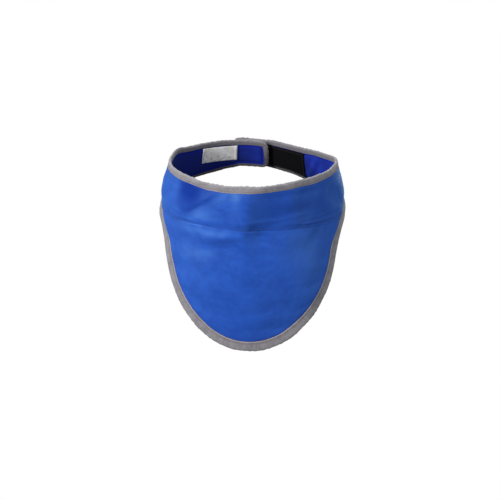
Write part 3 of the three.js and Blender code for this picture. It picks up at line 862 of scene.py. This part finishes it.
# ------------------------------------------------------------------ how pieces are placed: baked in place, or attached to a body
def level(depth):
    return (SHIFT[2] - depth) / 1000.0


def seam_point(along):
    """Point at mid height of a strap, in metres."""
    return tuple(float(x) for x in (base(along, 20) + SHIFT) / 1000.0)


def band_to_bib(piece):
    level(49.5)
    level(68)
    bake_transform(piece)


def turning(start, end):
    def follow(piece):
        seam_point(start)
        seam_point(end)
        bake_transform(piece)
    return follow


def riding(body):
    return lambda piece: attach(piece, body)


RIGHT_SIDE = turning(108.5, 140)
RIGHT_REAR = turning(183, 197)
LEFT_SIDE = turning(-114, -158)
ON_BAND = riding("front_band")
ON_LEFT = riding("left_strap")


def place(piece, follow, slot, *replaced):
    follow(piece)
    if replaced:
        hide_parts(*replaced)


# ------------------------------------------------------------------ covers, linings, plies
EDGE_TOP = line(LEFT_END, RIGHT_END, rim_depth, 900)
EDGE_LOW = line(LEFT_END, RIGHT_END, low_edge, 1400)
END_COLUMNS = (0.8, 1.4, 2.2, 3.2, 4.5, 6, 7.5, 9)   # extra columns by a rounded end


def column_stations(start, end, step, extra=()):
    even = np.linspace(start, end, max(2, int(round((end - start) / step))) + 1)
    extra = [x for x in extra if start < x < end]
    return np.array(sorted(set(np.round(np.r_[even, extra], 5))))


def slope_inset(along, inset):
    """Depth that keeps a sheet inset mm inside the sloping lower edge."""
    slope = (low_edge(along + 0.5) - low_edge(along - 0.5)) / (2 * 0.5)
    return inset * np.sqrt(1 + (slope / rim_scale(along, low_edge(along))) ** 2)


def corner_inset(along, end, inset, radius):
    """How far a sheet is cut back near a free end with rounded corners."""
    left = np.abs(end - along)
    arc = radius - inset
    x = np.clip(radius - np.maximum(left, inset), 0, arc)
    return inset + np.where(left < radius, arc - np.sqrt(np.maximum(arc * arc - x * x, 0)), 0)


def layer(name, along, depth, edges, outer, inner, material, swell):
    """A sheet pressed thin under the binding and swelling away from it."""
    side = 1 if outer > 0 else -1
    inside = edge_distance(along, depth, edges)
    inside = np.maximum(inside - wide(depth) * (1 if side > 0 else -0.4), 0)
    rise = side * puff(inside) * swell
    press = thin(inside)
    return slab(name, along, depth, outer * press + rise, inner * press + rise,
                material, inside)


def front_sheet(name, step, inset, outer, inner, material, swell=0.0):
    """Band and bib in one, with rows gathered at the crease."""
    columns = column_stations(-CUT_AT, CUT_AT, step)
    band_rows, bib_rows = int(round(BAND_SPAN / step)), int(round(BIB_SPAN / step))
    band_share = 1 - (1 - np.linspace(0, 1, band_rows + 1)) ** 1.3
    bib_share = np.linspace(0, 1, bib_rows + 1)[1:] ** 1.25
    rows = []
    for x in columns:
        top = inset + float(rim_depth(x))
        low = float(low_edge(x) - slope_inset(x, inset))
        fold = min(float(FOLD(x)), low - 1.0)
        rows.append(np.r_[top + (fold - top) * band_share, fold + (low - fold) * bib_share])
    depth = np.array(rows)
    along = np.repeat(columns[:, None], depth.shape[1], 1)
    return layer(name, along, depth, [EDGE_TOP, EDGE_LOW], outer, inner, material, swell)


def side_sheet(name, start, stop, step, inset, outer, inner, material, swell=0.0, end=None):
    """Part of a strap; end is its free end, if it has one."""
    extra, edges = (), [EDGE_TOP, EDGE_LOW]
    if end is not None:
        way = math.copysign(1, end)
        extra = [end - way * x for x in END_COLUMNS]
        edges.append(np.stack([np.full(40, end), np.linspace(0, float(low_edge(end)), 40)], 1))
    columns = column_stations(start, stop, step, extra)
    cut = np.full(len(columns), inset)
    if end is not None:
        cut = corner_inset(columns, end, inset, RIGHT_RADIUS if end > 0 else LEFT_RADIUS)
    share = np.linspace(0, 1, int(round(BAND_SPAN / step)) + 1)
    top, low = rim_depth(columns) + cut, low_edge(columns) - cut
    depth = top[:, None] * (1 - share) + low[:, None] * share
    along = np.repeat(columns[:, None], len(share), 1)
    return layer(name, along, depth, edges, outer, inner, material, swell)


# Strap pieces of each fabric: name, start, stop, free end, how it is placed, CAD body
FABRIC_SIDES = (
    ("right_side_", CUT_AT, REAR_AT, None, RIGHT_SIDE, "right_strap_"),
    ("right_rear_", REAR_AT, RIGHT_END - COVER_INSET, RIGHT_END, RIGHT_REAR, "closing_tab_"),
    ("left_side_", LEFT_END + COVER_INSET, -CUT_AT, LEFT_END, LEFT_SIDE, "left_strap_"))


def fabric(kind, outer, inner, material, slot, front_step, front_swell, side_swells):
    sheet = front_sheet("front_and_bib_" + kind, front_step, COVER_INSET, outer, inner,
                        material, front_swell)
    place(sheet, band_to_bib, slot, "front_band_" + kind, "bib_" + kind)
    for (name, start, stop, end, follow, body), swell in zip(FABRIC_SIDES, side_swells):
        sheet = side_sheet(name + kind, start, stop, CLOTH_STEP, COVER_INSET, outer, inner,
                           material, swell, end)
        place(sheet, follow, slot, body + kind)


def lead_ply(kind, outer, inner):
    kind = "lead_ply_" + kind
    sheet = front_sheet("front_and_bib_" + kind, LEAD_STEP, LEAD_INSET, outer, inner, LEAD)
    place(sheet, band_to_bib, "lead_rubber", "front_band_" + kind, "bib_" + kind)
    for side, start, stop, follow in (("right_", CUT_AT, LEAD_END, RIGHT_SIDE),
                                      ("left_", -LEAD_END, -CUT_AT, LEFT_SIDE)):
        sheet = side_sheet(side + kind, start, stop, LEAD_STEP, LEAD_INSET, outer, inner, LEAD)
        place(sheet, follow, "lead_rubber", side + "strap_" + kind)


fabric("outer_cover", COVER_OUT, COVER_IN, COVER, "cover_fabric",
       front_step=CLOTH_STEP, front_swell=1, side_swells=(1, 1, 1))
fabric("lining", -COVER_IN, -COVER_OUT, LINING, "lining_fabric",
       front_step=CLOTH_STEP * 1.2, front_swell=0.6, side_swells=(0.6, 0.3, 0.5))
lead_ply("outer", LEAD_FAR, LEAD_NEAR)
lead_ply("inner", -LEAD_NEAR, -LEAD_FAR)

# ------------------------------------------------------------------ folded binding tape
# Half profiles of the tape's two faces, from lip to fold: inset from the edge, offset
TAPE_OUTER = [
    (TAPE_WIDTH, TAPE_OUT - 0.20), (TAPE_WIDTH - 0.25, TAPE_OUT - 0.02),
    (TAPE_WIDTH - 1.2, TAPE_OUT), (TAPE_WIDTH - 2.4, TAPE_OUT),
    (TAPE_WIDTH - 3.8, TAPE_OUT + 0.02), (TAPE_WIDTH - 5.0, TAPE_OUT + 0.03),
    (0.9, TAPE_OUT - 0.02), (0.35, TAPE_OUT - 0.18), (-0.1, TAPE_OUT - 0.48),
    (-0.42, TAPE_OUT - 0.95), (-0.60, 0.0)]
TAPE_INNER = [
    (TAPE_WIDTH, TAPE_IN - 0.02), (TAPE_WIDTH - 1.5, TAPE_IN), (TAPE_WIDTH - 4.5, TAPE_IN),
    (0.9, TAPE_IN - 0.05), (0.25, TAPE_IN - 0.55), (-0.02, 0.0)]
# Over the fold on the outer face, then back inside
TAPE_PROFILE = np.array(
    TAPE_OUTER + [(x, -y) for x, y in TAPE_OUTER[-2::-1]]
    + [(x, -y) for x, y in TAPE_INNER] + TAPE_INNER[-2::-1])
TAPE_FOLD = 0.9         # the profile nearer the edge than this keeps its width


def tape(name, path, inward, seed, strap):
    """strap: along the lower edge the inner lip is narrower and darkened with painted shade."""
    path, run = resample(path, TAPE_STEP)
    step_along, step_depth = inward_steps(path, inward)
    count, around = len(path), len(TAPE_PROFILE)
    inset, offset = TAPE_PROFILE[:, 0], TAPE_PROFILE[:, 1]
    side = np.sign(offset)[None, :]
    rand = np.random.RandomState(seed)
    phase = rand.uniform(0, 6.28, 6)
    noise = np.convolve(rand.uniform(-1, 1, count + 4), np.ones(3) / 3, "same")
    noise = noise[2:count + 2][:, None]
    length = run[:, None]
    at_lip = smooth((inset - 4.5) / 2.4)[None, :]
    at_fold = smooth((0.6 - inset) / 1.2)[None, :]
    lip_wave = (0.10 * np.sin(length / 7.3 + phase[0]) + 0.07 * np.sin(length / 3.1 + phase[1])
                + 0.04 * np.sin(length / 1.35 + phase[2]))
    # the fold's edge is slightly ragged
    ragged = (0.18 * np.sin(length / 5.2 + phase[3])
              + 0.16 * np.sin(length / 0.83 + phase[4]) * np.sin(length / 6.1) + 0.46 * noise)
    low = np.zeros((count, 1))
    if strap:
        low = np.clip(path[:, 1] / 12.0 - 0.6, 0, 1)[:, None]
    inner_width = INNER_WIDTH + (INNER_WIDTH_LOW - INNER_WIDTH) * low
    outer_width = TAPE_WIDTH + wide(path[:, 1])[:, None]
    stretch = ((np.where(side < 0, inner_width, outer_width) - TAPE_FOLD)
               / (TAPE_WIDTH - TAPE_FOLD))
    reach = np.where(inset > TAPE_FOLD, TAPE_FOLD + (inset - TAPE_FOLD) * stretch, inset)
    reach = reach + lip_wave * at_lip + ragged * at_fold
    # the outer face is pulled down at each stitch, swelling between them
    between = 0.5 - 0.5 * np.cos(2 * math.pi * length / STITCH_PITCH)
    pucker = side * (-0.10 * (1 - between) * bell(inset - 4.9, 1.1)[None, :]
                     + (0.05 * np.sin(length / 4.1 + phase[5]) + 0.07 * noise) * (1 - at_lip))
    outer_face = (np.arange(around) < 2 * len(TAPE_OUTER) - 1)[None, :]
    verts = at(path[:, 0][:, None] + step_along[:, None] * reach,
               path[:, 1][:, None] + step_depth[:, None] * reach,
               offset[None, :] + np.where(outer_face, pucker, 0)).reshape(-1, 3)
    # the third coordinate drops below -1 on the inside along a strap's lower edge, marking the
    # painted shade there
    coords = np.stack([np.repeat(length, around, 1), np.repeat(inset[None, :], count, 0),
                       side - low * (side < 0)], -1)
    return finish_mesh(name, verts, tube_faces(count, around), TAPE, coords, 50)


def stitches(name, path, inward=1, inset=0.0, offset=0.0, pitch=STITCH_PITCH, length=2.0,
             radius=0.23, sides=(1,), material=THREAD):
    """Separate stitches: short rounded bars, slightly slanted, ends sunk in the cloth.
    Sides: 1 outside, -1 inside."""
    around, slant, sink = 6, 0.10, 0.30
    rings = np.linspace(-1, 1, 5)
    angles = np.linspace(0, 2 * math.pi, around, endpoint=False)
    path, _ = resample(path, pitch)
    step_along, step_depth = (step[:-1] for step in inward_steps(path, inward))
    middle = path[:-1] + (path[1:] - path[:-1]) * 0.5
    verts, faces, coords = [], [], []
    for side in sides:
        shift = np.full(len(middle), min(inset, STITCH_INSET_IN))
        if side > 0:
            shift = inset + wide(middle[:, 1])
        move = np.stack([step_along * shift, step_depth * shift], 1)

        def points(stations):
            moved = stations + move
            return at(moved[:, 0], moved[:, 1], side * offset)

        centres = points(middle)
        forward = unit(points(path[1:]) - points(path[:-1]))
        out = normal(*(middle + move).T) * side
        forward = unit(forward + unit(np.cross(out, forward)) * slant)
        across = unit(np.cross(out, forward))
        for k in range(len(centres)):
            faces += tube_faces(len(rings), around, len(verts))
            for x in rings:
                thick = radius * math.sqrt(max(0.06, 1 - x ** 4)) / 1000
                centre = (centres[k] + forward[k] * (x * length / 2000)
                          + out[k] * (-(x ** 4) * sink / 1000))
                for angle in angles:
                    verts.append(centre + (across[k] * math.cos(angle) * thick
                                           + out[k] * math.sin(angle) * thick * 0.85))
                    coords.append((k * pitch + x * length / 2, angle, 0))
    return finish_mesh(name, verts, faces, material, coords, 70)


def joined(*pieces):
    for other in bpy.data.objects:
        other.select_set(False)
    for piece in pieces:
        piece.select_set(True)
    bpy.context.view_layer.objects.active = pieces[0]
    bpy.ops.object.join()
    return pieces[0]


# Bound edges: tape name, stitching name, path, inward side, tape seed, strap's lower
# edge included, free end included, how it is placed, CAD pieces replaced
BOUND_EDGES = (
    ("rim_binding_front", "rim_stitches_front", line(-CUT_AT, CUT_AT, rim_depth, 400),
     1, 3, False, False, ON_BAND, ("front_band_rim_{}",)),
    ("bib_edge_binding_tape", "bib_edge_stitches", line(-CUT_AT, CUT_AT, low_edge, 700),
     -1, 4, False, False, band_to_bib, ("bib_edge_{}",)),
    ("rim_binding_right", "rim_stitches_right", line(CUT_AT, REAR_AT, rim_depth),
     1, 5, False, False, RIGHT_SIDE, ("right_strap_rim_{}",)),
    ("lower_binding_right", "lower_stitches_right", line(CUT_AT, REAR_AT, low_edge),
     -1, 6, True, False, RIGHT_SIDE, ("right_strap_lower_{}", "front_band_lower_{}_right")),
    ("right_end_binding", "right_end_stitches", free_end(REAR_AT, RIGHT_END, RIGHT_RADIUS),
     1, 7, True, True, RIGHT_REAR, ("closing_tab_{}",)),
    ("left_strap_edge_binding", "left_strap_stitches",
     free_end(-CUT_AT, LEFT_END, LEFT_RADIUS),
     -1, 8, True, True, LEFT_SIDE, ("left_strap_{}", "front_band_lower_{}_left")))

for name, _, path, inward, seed, strap, _, follow, replaced in BOUND_EDGES:
    place(tape(name, path, inward, seed, strap), follow, "edge_tape",
          *[cad.format("binding") for cad in replaced])

for _, name, path, inward, _, strap, free, follow, replaced in BOUND_EDGES:
    row = dict(inward=inward, inset=STITCH_INSET, offset=TAPE_OUT + 0.02)
    sewing = stitches(name, path, sides=(1,) if strap else (1, -1), **row)
    if free:        # inside, the row leaves out the lower edge
        sewing = joined(sewing, stitches(name + "_in", upper(path), sides=(-1,), **row))
    place(sewing, follow, "thread", *[cad.format("stitching") for cad in replaced])

# crease seam: fine blue thread sunk in the fold
place(stitches("crease_stitches", line(-101, 101, lambda along: crease(along) - 1.9),
               inward=-1, offset=COVER_OUT + 0.40, pitch=2.6, radius=0.16,
               material=CREASE_THREAD),
      ON_BAND, "thread", "crease_stitching")


# ------------------------------------------------------------------ patches and label
LOOP_START, LOOP_STOP = 158.6, RIGHT_END - 8.0
HOOK_START, HOOK_STOP = LEFT_END + 8.0, -176.0
LABEL_START, LABEL_STOP = -201.0, -165.0
LOOP_FACE, HOOK_FACE = -2.75, 2.35      # offsets of the faces that show


def hook_top(along):
    return TAPE_WIDTH + 0.2 + np.maximum(rim_depth(along), 0)


def hook_low(along):
    return low_edge(along) - TAPE_WIDTH - 0.5


def loop_top(along):
    return INNER_WIDTH + 0.3 + np.maximum(rim_depth(along), 0)


def loop_low(along):
    return low_edge(along) - INNER_WIDTH_LOW - 0.8


def patch(name, start, stop, top, low, back, face, material, step, rough, seed,
          hem=None, crown=0.0):
    """Sewn-on rectangle with a rounded rim; face is the offset that shows."""
    columns = np.linspace(start, stop, int((stop - start) / step) + 1)
    share = np.linspace(0, 1, int(PATCH_SPAN / step) + 1)
    top = (top(columns) + np.zeros(len(columns)))[:, None]
    low = (low(columns) + np.zeros(len(columns)))[:, None]
    along = np.repeat(columns[:, None], len(share), 1)
    depth = top * (1 - share) + low * share
    inside = np.minimum(np.minimum(along - start, stop - along),
                        np.minimum(depth - top, low - depth))
    grain = np.random.RandomState(seed).uniform(-1, 1, along.shape)
    rim = np.sqrt(np.clip(1 - (1 - np.clip(inside / 0.9, 0, 1)) ** 2, 0, 1))
    side = np.sign(face)
    shown = (back + (face - back) * (0.35 + 0.65 * rim)
             + side * (rough * grain * rim + crown * smooth(inside / 5)))
    third = np.zeros(along.shape)
    if hem:         # both ends are turned over and stand a little higher
        third = np.maximum(np.clip((hem - (along - start)) / 0.5, 0, 1),
                           np.clip((hem - (stop - along)) / 0.5, 0, 1))
        shown = shown + side * 0.28 * third
    hidden = np.full(along.shape, back)
    outer, inner = (shown, hidden) if face > 0 else (hidden, shown)
    return slab(name, along, depth, outer, inner, material, third)


def hooks():
    """Rows of small moulded hooks on the hook patch, facing alternate ways."""
    profile = [(0, 0), (0.05, 0.30), (0.22, 0.52), (0.45, 0.50), (0.52, 0.34)]  # reach, height
    half_width, thick, root = 0.13, 0.12, HOOK_FACE - 0.02
    rand = np.random.RandomState(5)
    verts, faces, coords = [], [], []
    for along in np.arange(HOOK_START + 1.2, HOOK_STOP - 1.0, 1.45):
        top, low = float(hook_top(along)) + 0.9, float(hook_low(along)) - 0.9
        for k, depth in enumerate(np.arange(top, low, 1.25)):
            foot = at(along, depth, root)
            out = normal(along, depth)
            forward = unit(at(along + 0.5, depth, root) - foot)
            aside = np.cross(out, forward) * half_width / 1000
            facing = forward if k % 2 else -forward
            faces += tube_faces(len(profile), 4, len(verts))
            for x, y in profile:
                point = (foot + (facing * x + out * y) / 1000
                         + forward * rand.uniform(-0.02, 0.02) / 1000)
                back = (out if x > 0.2 else -facing) * thick / 1000
                verts += [point - aside, point + aside, point + aside + back,
                          point - aside + back]
                coords += [(along, depth, 0)] * 4
    return finish_mesh("left_hook_rows", verts, faces, HOOK, coords, 60)


def box_path(start, stop, inset, top, low):
    upper_side = line(start + inset, stop - inset, lambda along: top(along) + inset)
    lower_side = line(stop - inset, start + inset, lambda along: low(along) - inset)
    return np.concatenate([upper_side, lower_side, upper_side[:1]])


def label_row(name, along):
    return stitches(name, np.array([(along, 7.4), (along, 22.4)]), offset=COVER_OUT + 1.04,
                    pitch=2.2, length=1.5, radius=0.20, sides=(-1,), material=DARK_THREAD)


place(patch("right_loop_patch", LOOP_START, LOOP_STOP, loop_top, loop_low,
            back=-(COVER_OUT - 0.25), face=LOOP_FACE, material=LOOP, step=PATCH_STEP,
            rough=0.10, seed=11),
      RIGHT_REAR, "loop_tape", "right_strap_loop_patch", "closing_tab_loop_patch")
place(patch("left_hook_patch", HOOK_START, HOOK_STOP, hook_top, hook_low,
            back=COVER_OUT, face=HOOK_FACE, material=HOOK, step=PATCH_STEP * 1.3,
            rough=0.02, seed=12),
      ON_LEFT, "hook_tape", "left_strap_hook_patch")
place(hooks(), ON_LEFT, "hook_tape")
place(patch("care_label_cloth", LABEL_START, LABEL_STOP,
            lambda along: INNER_WIDTH + 0.5, lambda along: INNER_WIDTH + 17.4,
            back=-(COVER_OUT + 0.30), face=-(COVER_OUT + 0.62), material=LABEL, step=0.6,
            rough=0.012, seed=13, hem=2.3, crown=0.10),
      ON_LEFT, "label_cloth", "care_label")
place(joined(label_row("care_label_stitches", LABEL_START + 1.2),
             label_row("care_label_stitches_b", LABEL_STOP - 1.2)),
      ON_LEFT, "thread", "care_label_stitching")
# sewing round the two closure patches
for name, start, stop, top, low, offset, side, follow in (
        ("loop_patch_stitches", LOOP_START, LOOP_STOP, loop_top, loop_low, 2.77, -1, RIGHT_REAR),
        ("hook_patch_stitches", HOOK_START, HOOK_STOP, hook_top, hook_low, 2.38, 1, ON_LEFT)):
    place(stitches(name, box_path(start, stop, 1.6, top, low), offset=offset, pitch=2.6,
                   radius=0.20, sides=(side,), material=BLACK_THREAD),
          follow, "thread")

# ------------------------------------------------------------------ world and lights
scene = bpy.context.scene
scene.view_settings.view_transform = "Standard"
scene.view_settings.look = "None"
AMBIENT_LOW, AMBIENT_TOP = 0.10, 0.52     # ambient strength from below and from above


def build_world():
    """Plain white to the camera; the light it gives is dimmer, and dimmer from below."""
    world = bpy.data.worlds.new("studio")
    scene.world = world
    graph = Graph(world)
    direction = Signal(graph, graph.node("TexCoord").outputs["Generated"])
    height = (graph.split(direction)[2] * 0.5 + 0.5).clamp()
    strength = AMBIENT_LOW + height * height * (AMBIENT_TOP - AMBIENT_LOW)
    ambient = graph.build("Background", {0: (0.92, 0.96, 1.0), 1: strength})
    backdrop = graph.build("Background", {0: (1, 1, 1), 1: 1.0})
    seen = Signal(graph, graph.node("LightPath").outputs["Is Camera Ray"])
    shader = graph.build("MixShader", {0: seen, 1: ambient, 2: backdrop})
    graph.feed(graph.node("OutputWorld").inputs[0], shader)


def area_light(name, location, size, power, colour=(1, 1, 1)):
    """Round area light aimed at the collar, in metres and watts."""
    light = bpy.data.lights.new(name, "AREA")
    light.shape = "DISK"
    light.size = size
    light.energy = power
    light.color = colour
    lamp = bpy.data.objects.new(name, light)
    scene.collection.objects.link(lamp)
    lamp.location = location
    aim = Vector((0.0, 0.0, 0.09)) - Vector(location)
    lamp.rotation_euler = aim.to_track_quat("-Z", "Y").to_euler()


build_world()
area_light("key", (-1.45, -0.78, 0.95), size=0.30, power=38.5)
area_light("fill", (1.35, -1.05, 0.45), size=1.0, power=9.0, colour=(0.93, 0.96, 1))
area_light("top", (-0.1, -0.75, 1.35), size=0.6, power=6.0)
area_light("rear", (0.75, 1.55, 0.35), size=1.3, power=11.0, colour=(0.95, 0.97, 1))

# ------------------------------------------------------------------ camera
CAMERA_RISE, CAMERA_YAW = math.radians(28), math.radians(3)
CAMERA_DISTANCE = 900.0
CAMERA_LEFT, CAMERA_DOWN = 3.09478, 87.04062    # shift off the ring's centre
CAMERA_SENSOR, CAMERA_LENS = 36, 67.0032


def build_camera():
    back = Vector((math.sin(CAMERA_YAW) * math.cos(CAMERA_RISE),
                   -math.cos(CAMERA_YAW) * math.cos(CAMERA_RISE), math.sin(CAMERA_RISE)))
    right = Vector((math.cos(CAMERA_YAW), math.sin(CAMERA_YAW), 0))
    up = back.cross(right)
    position = Vector(SHIFT) - right * CAMERA_LEFT - up * CAMERA_DOWN + back * CAMERA_DISTANCE
    camera = bpy.data.cameras.new("camera")
    holder = bpy.data.objects.new("camera", camera)
    scene.collection.objects.link(holder)
    matrix = Matrix((right, up, back)).transposed().to_4x4()
    matrix.translation = position / 1000
    holder.matrix_world = matrix
    camera.sensor_width = CAMERA_SENSOR
    camera.lens = CAMERA_LENS
    camera.clip_start = 0.01
    scene.camera = holder


build_camera()
